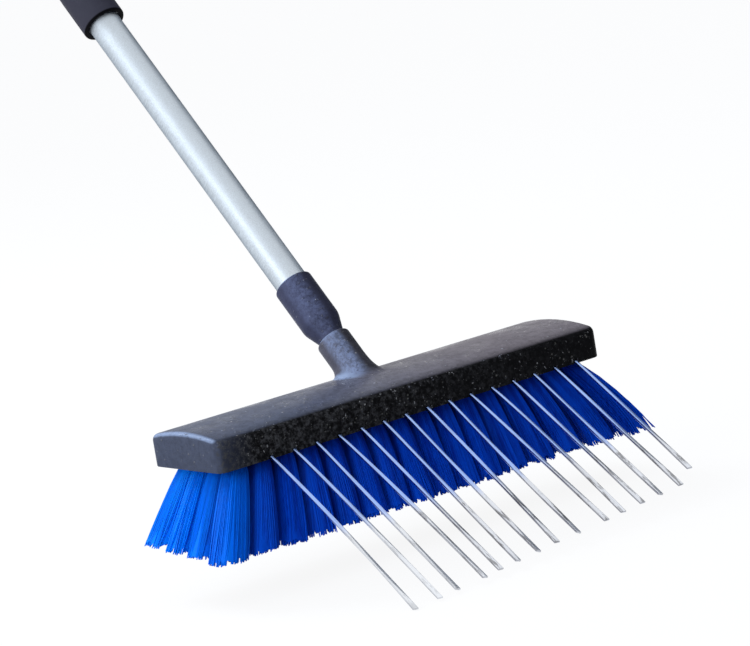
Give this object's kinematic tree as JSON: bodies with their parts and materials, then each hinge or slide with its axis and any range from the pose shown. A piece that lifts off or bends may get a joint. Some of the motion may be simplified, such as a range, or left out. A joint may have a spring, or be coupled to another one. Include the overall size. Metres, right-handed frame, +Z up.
{
  "type": "telescopic brush rake",
  "caption": "Blue hand brush head with flat steel rake tines on a leaning telescopic aluminium handle with a twist lock collar, foam grip and hanging cap.",
  "frame": {"origin": "middle of the brush face, the level plane of the front tufts' tips, under the middle of the block", "axes": "+Z up, +X along the block, the tines leave towards -Y, the handle leans towards +Y"},
  "size_m": [0.3932, 0.8409, 0.777],
  "materials": {
    "shell_plastic": "dark grey moulded plastic, finely grained, wet",
    "plate_plastic": "dark moulded plastic",
    "bristle": "blue synthetic filaments, slightly glossy",
    "tine_steel": "bright flat spring steel",
    "bar_steel": "zinc plated steel strip",
    "screw_steel": "zinc plated",
    "anchor_metal": "plain steel strip",
    "rivet_metal": "plain aluminium rivet",
    "tip_plastic": "slate grey moulded plastic",
    "tube_aluminium": "satin anodised",
    "guide_plastic": "natural white acetal",
    "sleeve_plastic": "dark moulded plastic",
    "collar_plastic": "slate grey moulded plastic, satin",
    "grip_foam": "closed cell foam, fine grain",
    "cap_plastic": "dark moulded plastic"
  },
  "bodies": {
    "upper_handle": {"upper_tube": "tube_aluminium", "lock_sleeve": "sleeve_plastic", "sleeve_rivets": "rivet_metal", "lock_collet": "guide_plastic", "retaining_ring": "anchor_metal", "foam_grip": "grip_foam", "end_cap": "cap_plastic"},
    "head": {"head_shell": "shell_plastic", "bristle_plate": "plate_plastic", "tine_bar": "bar_steel", "bar_screws": "screw_steel", "plate_screws": "screw_steel", "tuft_anchors": "anchor_metal", "tuft_row_front": "bristle", "tuft_row_mid_front": "bristle", "tuft_row_mid_back": "bristle", "tuft_row_back": "bristle", "tine_01": "tine_steel", "tine_02": "tine_steel", "tine_03": "tine_steel", "tine_04": "tine_steel", "tine_05": "tine_steel", "tine_06": "tine_steel", "tine_07": "tine_steel", "tine_08": "tine_steel", "tine_09": "tine_steel", "tine_10": "tine_steel", "tine_11": "tine_steel", "tine_12": "tine_steel", "tine_13": "tine_steel", "tine_14": "tine_steel", "tine_15": "tine_steel", "handle_tip": "tip_plastic", "tip_rivet": "rivet_metal", "lower_tube": "tube_aluminium", "tube_guide": "guide_plastic"},
    "collar": {"lock_collar": "collar_plastic"}
  },
  "joints": [
    {"name": "telescope", "type": "slide", "parent": "upper_handle", "child": "head", "axis": [0, -0.6947, -0.7193], "range_m": [-0.268, 0.12]},
    {"name": "collar_turn", "type": "hinge", "parent": "upper_handle", "child": "collar", "pos_m": [0, 0.29839, 0.37214], "axis": [0, 0.6947, 0.7193], "range_deg": [0, 90]}
  ]
}
